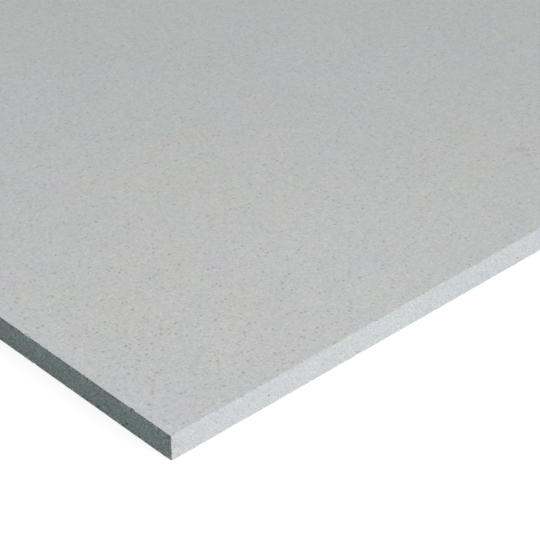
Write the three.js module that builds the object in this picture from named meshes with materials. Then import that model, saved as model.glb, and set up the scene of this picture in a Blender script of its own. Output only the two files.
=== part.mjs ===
// A full sheet of gypsum fibre board, the paperless kind of drywall: gypsum and
// paper fibre pressed into one plate, sanded on both faces and sawn square on
// all four edges. It has no liner, no core and no recess, so it is one solid.
//
// Millimetres. The origin is the centre of the underside. +X runs along the
// sheet's length, +Y across its width, and +Z up through its thickness, so the
// sheet lies flat with its back on the plane z = 0.

import * as THREE from "three";

// The sheet, as sold.
const LENGTH = 2400;
const WIDTH = 1200;
const THICKNESS = 12.5;

// What sanding and handling take off the sharp edges.
const ARRIS_RADIUS = 0.4; // where a face meets a sawn edge
const CORNER_RADIUS = 0.5; // at the corners of the flat of a face, in plan

// Facets in a quarter turn of each rounding.
const ARRIS_FACETS = 3;
const CORNER_FACETS = 4;

// Sanded gypsum and paper fibre: a pale, slightly cool grey with no gloss.
const GYPSUM_FIBRE = new THREE.MeshStandardMaterial({
  color: 0xbdbfbf,
  roughness: 0.9,
  metalness: 0,
});

// The flat of one face: the sheet's plan, short of its sawn edges by the
// arris rounding, with its four corners turned on their own radius.
function faceOutline() {
  const x = LENGTH / 2 - ARRIS_RADIUS - CORNER_RADIUS;
  const y = WIDTH / 2 - ARRIS_RADIUS - CORNER_RADIUS;
  const quarter = Math.PI / 2;
  const outline = new THREE.Shape();
  [
    [-x, -y],
    [x, -y],
    [x, y],
    [-x, y],
  ].forEach(([centreX, centreY], corner) => {
    const start = (corner + 2) * quarter;
    outline.absarc(centreX, centreY, CORNER_RADIUS, start, start + quarter);
  });
  outline.closePath();
  return outline;
}

// The face outline run through the thickness. The bevel grows out from it to
// the full length and width, and rounds the arrises of the face and the back.
function boardGeometry() {
  const geometry = new THREE.ExtrudeGeometry(faceOutline(), {
    depth: THICKNESS - 2 * ARRIS_RADIUS,
    steps: 1,
    curveSegments: CORNER_FACETS,
    bevelEnabled: true,
    bevelSize: ARRIS_RADIUS,
    bevelThickness: ARRIS_RADIUS,
    bevelSegments: ARRIS_FACETS,
  });
  return geometry.translate(0, 0, ARRIS_RADIUS);
}

const board = new THREE.Mesh(boardGeometry(), GYPSUM_FIBRE);
board.name = "gypsum_fibre_board";

const sheet = new THREE.Group();
sheet.add(board);

export default sheet;
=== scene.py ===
# %% [markdown]
# # A sheet of gypsum fibre board
#
# The sheet is one pressed plate of gypsum and paper fibre. It has no paper
# face, so what shows is the material itself: two sanded faces and four sawn
# edges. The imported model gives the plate's exact size, and everything here is
# worked out from it, in metres.

# %% Load the plate that the looks are built on
import math

import bmesh
import bpy
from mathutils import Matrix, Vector


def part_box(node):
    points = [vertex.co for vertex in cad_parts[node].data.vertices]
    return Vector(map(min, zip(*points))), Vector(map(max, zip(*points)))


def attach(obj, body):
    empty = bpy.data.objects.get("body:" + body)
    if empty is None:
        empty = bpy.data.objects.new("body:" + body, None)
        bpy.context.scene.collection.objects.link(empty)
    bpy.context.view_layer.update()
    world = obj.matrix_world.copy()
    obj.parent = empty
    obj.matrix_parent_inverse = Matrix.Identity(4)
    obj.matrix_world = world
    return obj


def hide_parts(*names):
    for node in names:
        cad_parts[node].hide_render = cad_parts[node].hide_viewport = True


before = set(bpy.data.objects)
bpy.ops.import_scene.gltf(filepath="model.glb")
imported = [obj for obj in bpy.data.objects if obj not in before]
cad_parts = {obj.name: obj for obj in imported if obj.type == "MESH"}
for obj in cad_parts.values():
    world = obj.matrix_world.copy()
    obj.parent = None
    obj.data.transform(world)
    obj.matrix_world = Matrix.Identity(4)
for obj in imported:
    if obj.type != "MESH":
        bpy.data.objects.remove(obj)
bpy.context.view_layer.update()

bpy.ops.object.select_all(action="DESELECT")

NODE = "gypsum_fibre_board"
low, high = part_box(NODE)
length, width, thickness = high - low
print(f"plate {length:.3f} x {width:.3f} x {thickness * 1000:.1f} mm, from {tuple(low)}")

# %% Lengths that a board maker would give in millimetres
MM = 0.001

# %% [markdown]
# ## The blank
#
# A saw leaves a board with square edges. Sanding and handling then take the
# sharpness off, by a few tenths of a millimetre. A cube that is pulled to the
# plate's size and bevelled twice has just that form. The upright corners are
# bevelled first, so that the second bevel runs round them in one loop.

# %% Pick what an operator is to work on
def pick(kind, wanted):
    """Selects the verts, edges or faces for which wanted says yes, and returns how many there are."""
    bpy.ops.mesh.select_mode(type={"verts": "VERT", "edges": "EDGE", "faces": "FACE"}[kind])
    bpy.ops.mesh.select_all(action="DESELECT")
    mesh = bmesh.from_edit_mesh(bpy.context.edit_object.data)
    picked = [item for item in getattr(mesh, kind) if wanted(item)]
    for item in picked:
        item.select_set(True)
    mesh.select_flush_mode()
    bmesh.update_edit_mesh(bpy.context.edit_object.data)
    return len(picked)


def run(edge, axis):
    """How far an edge goes along an axis: 0 for X, 1 for Y, 2 for Z."""
    return abs(edge.verts[0].co[axis] - edge.verts[1].co[axis])


def middle(edge):
    """The point halfway along an edge."""
    return (edge.verts[0].co + edge.verts[1].co) / 2


# %% Cut the blank to size
UPRIGHT_RADIUS = 0.5 * MM
ARRIS_RADIUS = 0.18 * MM
TINY = 0.01 * MM

bpy.ops.mesh.primitive_cube_add(size=1, location=(0, 0, 0), enter_editmode=True)
board = bpy.context.object
board.name = board.data.name = "sanded_board"
bpy.ops.transform.resize(value=(length, width, thickness))
bpy.ops.transform.translate(value=(low + high) / 2)

pick("edges", lambda edge: run(edge, 2) > thickness / 2)
bpy.ops.mesh.bevel(offset=UPRIGHT_RADIUS, segments=3, affect="EDGES")


def on_a_face(edge):
    """Whether an edge lies in one of the two faces."""
    return run(edge, 2) < TINY and abs(middle(edge).z - thickness / 2) > thickness / 2 - TINY


around = pick("edges", on_a_face)
bpy.ops.mesh.bevel(offset=ARRIS_RADIUS, segments=2, affect="EDGES")
print(f"blank bevelled round {around} edges of its two faces")

# %% [markdown]
# ## A fine rim on a plain face
#
# The faces are sanded flat, but the saw tears the gypsum and leaves chips along
# the arrises, and chips need points to move. A grid that is fine enough for
# them all over the board would hold millions of faces. So only the rim is cut
# fine. The flats are taken off, the rim is subdivided as an open band, and the
# flats are put back afterwards. The rim is finest for the first stretch from
# each corner, which is where a board is knocked and looked at.

# %% Leave a narrow border on each face and take the flats off
BORDER = 0.8 * MM

pick("faces", lambda face: abs(face.normal.z) > 0.99)
bpy.ops.mesh.inset(thickness=BORDER)
bpy.ops.mesh.delete(type="ONLY_FACE")

# The border is wider than the corner's radius, so its inner outline has four sharp corners.
inner_x = length / 2 - ARRIS_RADIUS - BORDER
inner_y = width / 2 - ARRIS_RADIUS - BORDER
for x in (-inner_x, inner_x):
    for y in (-inner_y, inner_y):
        for z in (0, thickness):
            corner = Vector((x, y, z))
            pick("verts", lambda v: (v.co - corner).length < 0.8 * BORDER and v.is_boundary)
            bpy.ops.mesh.merge(type="CENTER")
            merged = [v for v in bmesh.from_edit_mesh(board.data).verts if v.select][0]
            merged.co = corner


# %% Cut the sawn band across its height, next to each arris
ARRIS_ZONE = 1.4 * MM

for z in (ARRIS_ZONE, thickness - ARRIS_ZONE):
    bpy.ops.mesh.select_all(action="SELECT")
    bpy.ops.mesh.bisect(plane_co=(0, 0, z), plane_no=(0, 0, 1))


# %% Divide the rim along its length, then across its height
PART = 240 * MM
COARSE_CUTS = (6, 10)
FINE_CUTS = (20, 20)
ARRIS_ROWS = 2
MIDDLE_ROWS = 8


def divide(wanted, *parts):
    """Divides each edge that wanted picks into parts, then each of those again."""
    for count in parts:
        pick("edges", wanted)
        bpy.ops.mesh.subdivide(number_cuts=count - 1)


def upright_near(edge, z):
    """Whether an edge stands upright and has its middle close to a height."""
    return run(edge, 2) > 0.99 * edge.calc_length() and abs(middle(edge).z - z) < 2 * MM


def rim_edge(edge, axis):
    """Whether an edge runs along an axis, in the band on one of the two sides that follow that axis."""
    other = 1 - axis
    outside = abs(middle(edge)[other]) > high[other] - ARRIS_RADIUS - 1.1 * BORDER
    return outside and run(edge, axis) > 0.99 * edge.calc_length()


for axis in (0, 1):
    far = high[axis] - PART
    divide(lambda edge: rim_edge(edge, axis), round(2 * high[axis] / PART))
    divide(lambda edge: rim_edge(edge, axis) and abs(middle(edge)[axis]) < far, *COARSE_CUTS)
    divide(lambda edge: rim_edge(edge, axis) and abs(middle(edge)[axis]) > far, *FINE_CUTS)

for z in (ARRIS_ZONE / 2, thickness - ARRIS_ZONE / 2):
    divide(lambda edge: upright_near(edge, z), ARRIS_ROWS)
divide(lambda edge: run(edge, 2) > thickness / 2, MIDDLE_ROWS)
mesh = bmesh.from_edit_mesh(board.data)
odd = sum(1 for face in mesh.faces if len(face.verts) != 4)
print(f"open band of {len(mesh.faces)} faces, {odd} not quads")

# %% [markdown]
# ## Torn gypsum
#
# A saw doesn't leave gypsum smooth. It pulls out grains, so the band is pitted
# all over, and along the arrises small chips break away. Displace modifiers
# that follow cloud textures give this kind of wear. Each pushes a point in along
# its normal, so the board keeps its size, to some hundredths of a millimetre.
# Vertex groups say where each may work: a weight of 1 is full effect and 0 is
# none. The inner outline of the border has a weight of 0 throughout, which
# keeps the two faces flat.
#
# One knock has its own place, near the front of the left end. It presses the
# upper arris down for the width of a fingertip, and the arris beside it is whole.

# %% Say where the saw and the knocks have worked
bpy.ops.object.mode_set(mode="OBJECT")
ARRIS_REACH = 1.6 * MM
CORNER_REACH = 5 * MM


def depth(co):
    """How far a point lies below the nearer face."""
    return max(0, min(co.z - low.z, high.z - co.z))


def inset(co, axis):
    """How far a point lies in from the side that closes an axis."""
    return max(0, high[axis] - abs(co[axis]))


def arris_weight(co):
    """1 on an arris, and less away from it, soonest on the face."""
    away = math.hypot(depth(co), 1.6 * min(inset(co, 0), inset(co, 1)))
    return max(0, 1 - away / ARRIS_REACH)


def corner_weight(co):
    """1 on an upright corner, and less away from it."""
    away = math.hypot(inset(co, 0), inset(co, 1))
    return max(0, 1 - away / CORNER_REACH)


# %% Say where the one knock on the left end is, and keep the saw's own chips clear of it
NICK = Vector((low.x, -508.5 * MM, high.z))
NICK_HALF = 4.2 * MM
NICK_DROP = 1.9 * MM
NICK_CLEAR = 11 * MM
CLEAR_SLOPE = 3 * MM


def nick_weight(co):
    """1 at the middle of the knock, and less along the arris and down from it."""
    below = math.hypot(co.x - NICK.x, co.z - NICK.z) / NICK_DROP
    return max(0, 1 - math.hypot((co.y - NICK.y) / NICK_HALF, below))


def clear_of_nick(co):
    """0 beside the knock, and 1 well away from it."""
    return min(1, max(0, ((co - NICK).length - NICK_CLEAR) / CLEAR_SLOPE))


# %% Weigh every point
names = ("sawn", "arris", "chip", "corner", "nick")
groups = {name: board.vertex_groups.new(name=name) for name in names}
for v in board.data.vertices:
    on_flat = depth(v.co) < TINY and min(inset(v.co, 0), inset(v.co, 1)) > ARRIS_RADIUS + BORDER - TINY
    free = 0 if on_flat else 1
    sawn = free * min(1, depth(v.co) / ARRIS_RADIUS)
    groups["sawn"].add([v.index], sawn, "REPLACE")
    groups["arris"].add([v.index], sawn * arris_weight(v.co), "REPLACE")
    groups["chip"].add([v.index], free * arris_weight(v.co) * clear_of_nick(v.co), "REPLACE")
    groups["nick"].add([v.index], free * nick_weight(v.co), "REPLACE")
    groups["corner"].add([v.index], free * corner_weight(v.co) * (0.35 + 0.65 * sawn), "REPLACE")
print(f"{len(board.data.vertices)} points weighted in {len(groups)} groups")


# %% Wear the band inwards
def wear(name, group, size, deepest, bare, full, detail=1, direction="NORMAL"):
    """Pushes a group in where a cloud pattern is above bare, and by the deepest cut where it is full."""
    clouds = bpy.data.textures.new(name, type="CLOUDS")
    clouds.noise_scale = size * MM
    clouds.noise_depth = detail
    clouds.use_color_ramp = True
    for stop, position, grey in zip(clouds.color_ramp.elements, (bare, full), (0, 1)):
        stop.position = position
        stop.color = (grey, grey, grey, 1)
    worn = board.modifiers.new(name, "DISPLACE")
    worn.texture = clouds
    worn.texture_coords = "LOCAL"
    worn.vertex_group = group
    worn.direction = direction
    worn.mid_level = 0
    worn.strength = -deepest * MM
    before = [v.co.copy() for v in board.data.vertices]
    bpy.ops.object.modifier_apply(modifier=name)
    moved = sorted((v.co - old).length / MM for v, old in zip(board.data.vertices, before))
    print(f"{name}: median {moved[len(moved) // 2]:.3f} mm, deepest {moved[-1]:.2f} mm")


wear("saw_waver", "sawn", size=22, deepest=0.12, bare=0.25, full=0.75)
wear("torn_grain", "sawn", size=1.5, deepest=0.17, bare=0.30, full=0.85, detail=2)
wear("arris_crumble", "arris", size=1.8, deepest=0.18, bare=0.50, full=0.85, detail=2)
wear("arris_chip", "chip", size=5, deepest=0.60, bare=0.67, full=0.86)
wear("corner_knock", "corner", size=1.9, deepest=0.45, bare=0.45, full=0.85)
wear("end_nick", "nick", size=2.2, deepest=0.56, bare=0.05, full=0.45, direction="Z")

# %% [markdown]
# ## The sanded faces
#
# Now the flats go back. One face with thousands of points on its outline would
# be legal, but it would be cut into splinters as long as the board. A coarse
# grid is added well inside each opening instead, and Fill joins its outline to
# the rim with short triangles.

# %% Put a grid into each opening and join it to the rim
APRON = 36 * MM
CELL = 48 * MM


def close_face(z):
    """Closes the opening at one height, and returns how many cells its grid has."""
    flat_x, flat_y = inner_x - APRON, inner_y - APRON
    columns, rows = round(2 * flat_x / CELL), round(2 * flat_y / CELL)
    bpy.ops.mesh.select_all(action="DESELECT")
    bpy.ops.mesh.primitive_grid_add(x_subdivisions=columns, y_subdivisions=rows, size=1, location=(0, 0, 0))
    bpy.ops.transform.resize(value=(2 * flat_x, 2 * flat_y, 1))
    bpy.ops.transform.translate(value=(0, 0, z))
    pick("edges", lambda edge: edge.is_boundary and abs(middle(edge).z - z) < TINY)
    bpy.ops.mesh.fill(use_beauty=True)
    return columns * rows


bpy.ops.object.mode_set(mode="EDIT")
cells = close_face(low.z) + close_face(high.z)
bpy.ops.mesh.select_all(action="SELECT")
bpy.ops.mesh.normals_make_consistent(inside=False)
bpy.ops.mesh.faces_shade_smooth()
level_faces = pick("faces", lambda face: abs(face.normal.z) > 0.996)
bpy.ops.mesh.faces_shade_flat()
mesh = bmesh.from_edit_mesh(board.data)
open_edges = sum(1 for edge in mesh.edges if not edge.is_manifold)
triangles = sum(len(face.verts) - 2 for face in mesh.faces)
print(f"closed with {cells} cells, {level_faces} faces are level")
print(f"{triangles} triangles, {open_edges} open edges, {mesh.calc_volume() * 1000:.2f} litres")
bpy.ops.object.mode_set(mode="OBJECT")

# %% Put the board on its body, in the plate's place
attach(board, "root")
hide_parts(NODE)

# %% [markdown]
# ## Reckoning inside a material
#
# A node tree is hard to read once it has more than a dozen nodes. A small class
# lets the pattern be written as plain sums instead. Each sign adds the node that
# does that sum.

# %% A value in a material that Python's signs work on
class Signal:
    """A node's output. Signs between signals and numbers add the nodes that reckon them."""

    tree = None

    def __init__(self, socket):
        self.socket = socket

    @classmethod
    def node(cls, kind, settings=None, inputs=None, output=0):
        """Adds a node, gives it its settings and then its inputs, and returns its output or outputs."""
        made = cls.tree.nodes.new("ShaderNode" + kind)
        for name, value in (settings or {}).items():
            setattr(made, name, value)
        for name, value in (inputs or {}).items():
            if isinstance(value, cls):
                cls.tree.links.new(value.socket, made.inputs[name])
            else:
                made.inputs[name].default_value = value
        if isinstance(output, tuple):
            return [cls(made.outputs[one]) for one in output]
        return cls(made.outputs[output]) if made.outputs else made

    @staticmethod
    def is_vector(value):
        """Whether a signal or a plain value has three numbers."""
        if isinstance(value, Signal):
            return value.socket.type in {"VECTOR", "RGBA"}
        return isinstance(value, tuple)

    def reckon(self, operation, other, swapped=False):
        """Adds the node for one sum. A single number counts for all three parts of a vector."""
        vector = self.is_vector(self) or self.is_vector(other)
        if vector and isinstance(other, (int, float)):
            other = (other, other, other)
        first, second = (other, self) if swapped else (self, other)
        kind = "VectorMath" if vector else "Math"
        return Signal.node(kind, {"operation": operation}, {0: first, 1: second})

    def __add__(self, other):
        return self.reckon("ADD", other)

    def __radd__(self, other):
        return self.reckon("ADD", other, True)

    def __sub__(self, other):
        return self.reckon("SUBTRACT", other)

    def __rsub__(self, other):
        return self.reckon("SUBTRACT", other, True)

    def __mul__(self, other):
        return self.reckon("MULTIPLY", other)

    def __rmul__(self, other):
        return self.reckon("MULTIPLY", other, True)

    def __truediv__(self, other):
        return self.reckon("DIVIDE", other)

    def __pow__(self, other):
        return self.reckon("POWER", other)

    def __abs__(self):
        return self.reckon("ABSOLUTE", 0.0)

    def least(self, other):
        return self.reckon("MINIMUM", other)

    def most(self, other):
        return self.reckon("MAXIMUM", other)

    def part(self, axis):
        """One of a vector's or colour's three numbers."""
        return Signal.node("SeparateXYZ", inputs={0: self}, output=axis)

    def rise(self, start, end):
        """0 up to start, 1 from end on, and a soft slope between them."""
        settings = {"interpolation_type": "SMOOTHSTEP"}
        return Signal.node("MapRange", settings, {0: self, 1: start, 2: end, 3: 0.0, 4: 1.0})

    def blend(self, other, share):
        """This colour where share is 0, and the other one where it is 1."""
        colours = [value + (1.0,) if isinstance(value, tuple) else value for value in (self, other)]
        return Signal.node("Mix", {"data_type": "RGBA"}, {0: share, 6: colours[0], 7: colours[1]}, 2)


# %% Patterns that are given in millimetres
def noise(place, size, detail=2.0, roughness=0.5, seed=0.0, output=0):
    """Soft lumps about size across, from about -0.5 to 0.5."""
    moved = place + (seed * 37.0, seed * 61.0, seed * 23.0)
    values = {"Vector": moved, "Scale": 1 / size, "Detail": detail, "Roughness": roughness}
    return Signal.node("TexNoise", inputs=values, output=output) - 0.5


def tints(place, size, detail=2.0, seed=0.0):
    """Three noises at once, one for each of red, green and blue, from about -0.5 to 0.5."""
    return noise(place, size, detail, seed=seed, output=1)


def grains(place, size, radius, seed=0.0):
    """Scattered grains: how much of one is here, and three random numbers for each grain."""
    moved = place + (seed * 41.0, seed * 17.0, seed * 53.0)
    values = {"Vector": moved, "Scale": 1 / size, "Randomness": 1.0}
    away, chance = Signal.node("TexVoronoi", inputs=values, output=(0, 1))
    return 1 - (away * size).rise(radius * 0.45, radius * 1.25), chance


# %% [markdown]
# ## Gypsum and paper fibre
#
# The board is one material throughout, so its pattern runs through the solid:
# it is worked out from the place in the board, in millimetres, and the sawn
# sides cut the same grains that the faces show. Sanded gypsum is a warm light
# grey. It carries dark specks of paper, a few white grains of raw gypsum, and
# faint clouds where the mix was a little bluer or yellower. Below the sanded
# plane everything was torn by the saw, so it is rougher, and grain and short
# strands of fibre stand out of it.
#
# No two parts of a board are quite alike, so some marks have their own places:
# bolder grain at the near left corner, a bluer border along the sawn ends, two
# faint smudges, and two air holes in the left end.

# %% Start the material
finish = bpy.data.materials.new("gypsum_fibre")
finish.use_nodes = True
Signal.tree = finish.node_tree
finish.node_tree.nodes.clear()

place = Signal.node("TexCoord", output=3) * 1000.0
warped = place + tints(place, 2.2, seed=1) * (0.9, 0.9, 0.9)

# %% Tell the sanded planes from what lies below them
across = place.part(2)
sawn = across.least(thickness / MM - across).rise(0.03, 0.16)

# %% Find where the grain is bolder, near the left front corner, and where it is smoother
BOLD_REACH = (90, 170)
SMOOTH_REACH = (210, 360)
corner_x, corner_y = place.part(0) - low.x / MM, place.part(1) - low.y / MM
from_corner = corner_x * corner_x + corner_y * corner_y
bold = 1 - from_corner.rise(BOLD_REACH[0] ** 2, BOLD_REACH[1] ** 2)
smoother = from_corner.rise(SMOOTH_REACH[0] ** 2, SMOOTH_REACH[1] ** 2)

# %% Specks of paper, strands, pale grains and the hollows that grains leave
speck, luck = grains(warped, 2.3, 0.74, seed=2)
speck = speck * luck.part(0) ** (3.0 - 0.8 * bold)
fibre, draw = grains(warped * (0.45, 1.0, 1.0), 2.6, 0.42, seed=3)
fibre = fibre * draw.part(1) ** 3.0
pale, pick_pale = grains(warped, 3.4, 0.5, seed=4)
pale = pale * pick_pale.part(2) ** 4.0
hollow, rare = grains(warped, 5.0, 0.62, seed=17)
hollow_shade = hollow * rare.part(0).rise(0.90, 0.97)
hole = hollow * rare.part(0).rise(0.74, 0.86)

# %% Two air holes that the saw opened in the left end
# For each: how far it is across the board, and its height.
AIR_HOLES = ((-554.8, 1.6), (-572.5, 2.8))
for hole_y, hole_z in AIR_HOLES:
    opened = (low.x / MM, hole_y, hole_z)
    away = Signal.node("VectorMath", {"operation": "DISTANCE"}, {0: place, 1: opened}, 1)
    hole = hole.most(1 - away.rise(0.35, 0.90))

# %% Fine grain and soft lumps
grit = noise(place, 0.29, detail=0, seed=16)
fine = noise(place, 0.6, detail=2, roughness=0.6, seed=5)
lumps = noise(place, 1.15, detail=2, seed=14)
soft = noise(place, 3.0, detail=2, seed=6)

# %% Clouds of tint and of warmth, broad mottling and the marks of the sanding belt
hue = tints(place, 16, detail=3, seed=7)
warmth = noise(place, 120, detail=3, roughness=0.7, seed=1701)
mottle = noise(place, 120, detail=3, roughness=0.6, seed=1280)
belt = noise(place * (0.02, 1.0, 1.0), 1.3, detail=2, seed=9)

# %% The colour of the sanded faces
SANDED = (0.4975, 0.511, 0.507)
hue_shift = 1 + hue * (0.10, 0.08, 0.13) + warmth * (0.052, 0.0, -0.100)
grain = (0.18 * grit + 0.20 * fine) * (1 + 0.75 * bold - 0.10 * smoother)
shade = 1 + grain + (0.41 - 0.05 * smoother) * lumps + 0.20 * soft + 0.07 * mottle + 0.02 * belt
speckled = (0.26 + 0.07 * bold - 0.03 * smoother) * speck + (0.27 - 0.05 * smoother) * fibre
# Painted shade: the rarest hollows in the sanded faces are a third darker, with no dip in the bump.
sanded = hue_shift * SANDED * shade * (1 - speckled) * (1 + 0.16 * pale) * (1 - 0.34 * hollow_shade)

# %% A bluer border along the sawn ends
inward_x = high.x / MM - abs(place.part(0))
border = 1 - inward_x.rise(3, 24)
sanded = sanded * (1 + border * (-0.003, 0.010, 0.034))

# %% Two faint smudges near the front edge
# Both lie aslant. For each: its place, its half-length and half-width, and how dark it is.
SMUDGES = ((-939.2, -549.4, 4.1, 2.5, 0.125), (-940.7, -555.0, 1.9, 1.8, 0.085))
on_top = across.rise(thickness / MM - 1.0, thickness / MM - 0.5)
for smudge_x, smudge_y, long, wide, dark in SMUDGES:
    from_x, from_y = place.part(0) - smudge_x, place.part(1) - smudge_y
    lengthways = (0.72 * from_x - 0.69 * from_y) / long
    crossways = (0.69 * from_x + 0.72 * from_y) / wide
    spread = lengthways * lengthways + crossways * crossways
    smudge = (1 - spread.rise(0.0, 1.6)) * on_top
    sanded = sanded * (1 - smudge * (1.07 * dark, 1.0 * dark, 0.93 * dark))

# %% Pits and slanting strands for the torn sides
pit, deep = grains(warped, 2.0, 0.5, seed=10)
pit = pit * deep.part(0) ** 3.0
stirred = place + tints(place, 7, detail=1, seed=11) * 9.0
level = stirred.part(0) + stirred.part(1)
along = 0.86 * level + 0.5 * stirred.part(2)
over = 0.86 * stirred.part(2) - 0.5 * level
stretched = Signal.node("CombineXYZ", inputs={0: along * 0.3, 1: over})
strand = noise(stretched, 0.5, detail=2, roughness=0.6, seed=12)
crumb = noise(place, 1.3, detail=3, roughness=0.65, seed=13)

# %% The colour of the torn sides, with stronger grain at the two ends, which were cut across; part of that contrast is painted relief shade
TORN = (0.503, 0.555, 0.567)
inward_y = high.y / MM - abs(place.part(1))
cross_cut = (inward_y - inward_x).rise(-0.6, 0.6)
ragged = 1 - across.least(thickness / MM - across).rise(0.6, 2.4)
tear = 0.06 * crumb + 0.15 * strand + 0.05 * lumps + 0.90 * fine + 0.90 * grit
# Part of the ends' much stronger colour contrast, most near the arrises, is painted shade and light of
# their relief.
tear = tear * (0.62 + 0.2 * ragged + cross_cut * (1.71 + 3.4 * ragged))
tear = tear + 0.18 * cross_cut * noise(place, 3.2, detail=1, seed=15)
torn = hue_shift * TORN * (0.982 + tear + 0.05 * mottle + 0.018 * bold)
# Painted shade: the pits and the holes are darkened as the shade inside them, far more on the ends than on
# the long sides; the mesh has no holes, only a dip in the bump.
torn = torn * (1 - (0.19 + 0.37 * cross_cut) * pit - 0.12 * speck) * (1 + 0.12 * pale)
torn = torn * (1 - (0.10 + 0.74 * cross_cut) * hole)

# %% The gypsum that the knock crushed is pale
BRUISE = NICK / MM - Vector((0, 0, 1.5))
BRUISE_HALF = 4.4
BRUISE_RISE = 1.2
BRUISE_DEPTH = 2
bruise_y = (place.part(1) - BRUISE.y) / BRUISE_HALF
bruise_z = (across - BRUISE.z) / BRUISE_RISE
bruise = 1 - (bruise_y * bruise_y + bruise_z * bruise_z).rise(0.1, 1.0)
bruise = bruise * (BRUISE.x + BRUISE_DEPTH - place.part(0)).rise(0.0, 1.0)
torn = torn * (1 + bruise * (0.20, 0.19, 0.18))

# %% The rims of the torn sides: painted shade under the upper arris, painted bounce light at the foot
# Painted shade: the ends are darkened in a broken line just under the upper arris, though not on the
# knock's crushed gypsum.
painted_under_shade = cross_cut * across.rise(thickness / MM - 2.3, thickness / MM - 0.9)
painted_under_shade = painted_under_shade * (1 + 2.6 * noise(place, 1.8, detail=1, seed=18))
torn = torn * (1 - painted_under_shade * (1 - bruise) * (0.060, 0.085, 0.090))
# Painted light: the foot of each sawn side is a little less blue, and on the ends also redder, as warm
# light bounced up from the floor.
painted_foot_light = 1 - across.rise(0.6, 3.2)
torn = torn * (1 + painted_foot_light * (0.004, -0.007, -0.022)) * (1 + painted_foot_light * cross_cut * (0.050, 0.006, 0.0))

# %% Height, in millimetres
sanded_height = 0.06 * fine - 0.03 * speck - 0.015 * fibre + 0.006 * belt
torn_height = 0.30 * crumb + 0.22 * strand - 0.10 * pit - 0.30 * hole
height = sanded_height * (1 - sawn) + torn_height * sawn

# %% Join them in one surface
bump = Signal.node("Bump", inputs={"Strength": 1.0, "Distance": MM, "Height": height})
look = {
    "Base Color": sanded.blend(torn, sawn),
    "Roughness": 0.90 + 0.06 * sawn + 0.10 * fine,
    "Normal": bump,
    "Specular IOR Level": 0.35,
}
surface = Signal.node("BsdfPrincipled", inputs=look)
Signal.node("OutputMaterial", inputs={"Surface": surface})
board.data.materials.clear()
board.data.materials.append(finish)
print(f"{len(finish.node_tree.nodes)} nodes in the gypsum finish")

# %% [markdown]
# ## The studio
#
# The board lies on a white floor, with the key light low and in front of the
# long edge, so that edge is the brightest, the face is a little darker and the
# short edge falls into cool shade. The key is a soft sun, slightly warm, and a
# faintly blue-green sky fills the shade. The floor glows, so that it shows white
# and still keeps a trace of the board's shadow.

# %% The floor
FLOOR_SIZE = 80
FLOOR_DROP = 0.05 * MM
FLOOR_GREY = (0.22, 0.22, 0.22, 1)
FLOOR_GLOW = 0.84
bpy.ops.mesh.primitive_plane_add(size=FLOOR_SIZE, location=(0, 0, low.z - FLOOR_DROP))
floor = bpy.context.object
floor.name = "studio_floor"

floor_finish = bpy.data.materials.new("studio_white")
floor_finish.use_nodes = True
Signal.tree = floor_finish.node_tree
floor_finish.node_tree.nodes.clear()


def seen_directly():
    """1 for rays that show the background: from the camera, or by way of gloss or glass."""
    camera_ray, glossy_ray, clear_ray = Signal.node("LightPath", output=(0, 3, 6))
    return camera_ray.most(glossy_ray).most(clear_ray)


matt = Signal.node("BsdfDiffuse", inputs={"Color": FLOOR_GREY})
glow = Signal.node("Emission", inputs={"Color": (1, 1, 1, 1), "Strength": FLOOR_GLOW})
both = Signal.node("AddShader", inputs={0: matt, 1: glow})
shown = Signal.node("MixShader", inputs={0: seen_directly(), 1: matt, 2: both})
Signal.node("OutputMaterial", inputs={"Surface": shown})
floor.data.materials.append(floor_finish)

# %% The sky
FILL = (0.320, 0.385, 0.380, 1)
world = bpy.data.worlds.new("studio_sky")
bpy.context.scene.world = world
world.use_nodes = True
Signal.tree = world.node_tree
world.node_tree.nodes.clear()
fill = Signal.node("Background", inputs={"Color": FILL, "Strength": 1.0})
white = Signal.node("Background", inputs={"Color": (1, 1, 1, 1), "Strength": 1.0})
sky = Signal.node("MixShader", inputs={0: seen_directly(), 1: fill, 2: white})
Signal.node("OutputWorld", inputs={"Surface": sky})

# %% The key light
KEY_ELEVATION = 23.9
KEY_TURN = 20
KEY_ENERGY = 3.06
KEY_COLOUR = (1.106, 1.0, 1.009)
KEY_SOFTNESS = 24
bpy.ops.object.light_add(type="SUN", location=(0, -3, 2))
key = bpy.context.object
key.name = "key_light"
key.rotation_euler = (math.radians(90 - KEY_ELEVATION), 0, math.radians(KEY_TURN))
key.data.energy = KEY_ENERGY
key.data.color = KEY_COLOUR
key.data.angle = math.radians(KEY_SOFTNESS)

# %% A small soft lamp over the near corner
LAMP_PLACE = (-1.18, -0.69, 0.51)
LAMP_SIZE = 0.14
LAMP_POWER = 0.68
LAMP_COLOUR = (1.14, 1.0, 1.02)
bpy.ops.object.light_add(type="AREA", location=LAMP_PLACE)
lamp = bpy.context.object
lamp.name = "corner_lamp"
lamp.data.shape = "DISK"
lamp.data.size = LAMP_SIZE
lamp.data.energy = LAMP_POWER
lamp.data.color = LAMP_COLOUR
lamp.visible_camera = False

# %% [markdown]
# ## The camera
#
# A long lens looks down on the near left corner from half a metre above.

# %% Set up the camera
SENSOR = 36
CAMERA_PLACE = Vector((-1646.2, -1135.5, 568.2)) * MM
CAMERA_DOWN = 34.424
CAMERA_HEADING = 42.984
CAMERA_LENS = 151.76
bpy.ops.object.camera_add(location=CAMERA_PLACE)
camera = bpy.context.object
camera.name = "camera"
camera.rotation_euler = (math.radians(90 - CAMERA_DOWN), 0, math.radians(-CAMERA_HEADING))
camera.data.sensor_width = SENSOR
camera.data.lens = CAMERA_LENS
camera.data.clip_start = 0.01
camera.data.clip_end = 200
bpy.context.scene.camera = camera
bpy.context.scene.view_settings.view_transform = "Standard"
